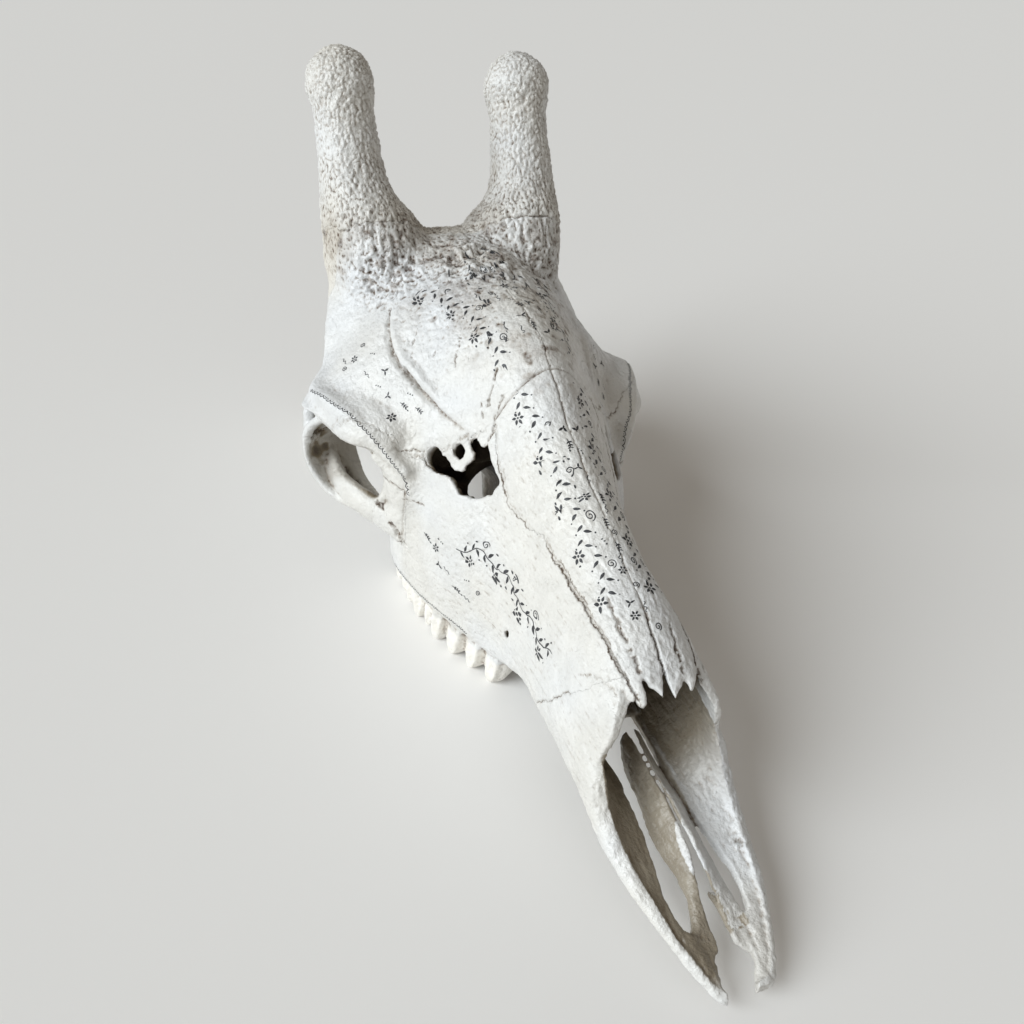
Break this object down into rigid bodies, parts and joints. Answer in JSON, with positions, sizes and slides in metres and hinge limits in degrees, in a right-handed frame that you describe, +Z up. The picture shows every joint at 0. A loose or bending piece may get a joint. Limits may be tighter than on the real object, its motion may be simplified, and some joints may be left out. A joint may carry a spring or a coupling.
{
  "type": "giraffe skull",
  "caption": "Giraffe skull without its lower jaw: two ossicones with round knobs, wide orbits under flat brows, long open muzzle and cheek teeth, painted white with fine line ornament.",
  "frame": {"origin": "middle of the footprint's bounding box, on the level of the tooth tips that it lies on", "axes": "+Z up, -Y towards the tips of the muzzle, +X to the skull's left"},
  "size_m": [0.277, 0.6394, 0.3447],
  "materials": {
    "painted_bone": "satin off-white paint on bone, with fine black line ornament",
    "rough_bone": "satin off-white paint on pebbled bone, brown dirt in the hollows",
    "plain_bone": "satin off-white bone, brown in the recesses",
    "ink": "matt black ink line"
  },
  "bodies": {
    "root": {"nasal_left": "painted_bone", "nasal_right": "painted_bone", "ossicone_left": "rough_bone", "ossicone_right": "rough_bone", "premaxilla_left": "plain_bone", "premaxilla_right": "plain_bone", "jugal_left": "painted_bone", "jugal_right": "painted_bone", "frontal_left": "painted_bone", "frontal_right": "painted_bone", "maxilla_left": "painted_bone", "maxilla_right": "painted_bone", "occiput": "plain_bone", "cranium": "painted_bone"}
  },
  "joints": []
}
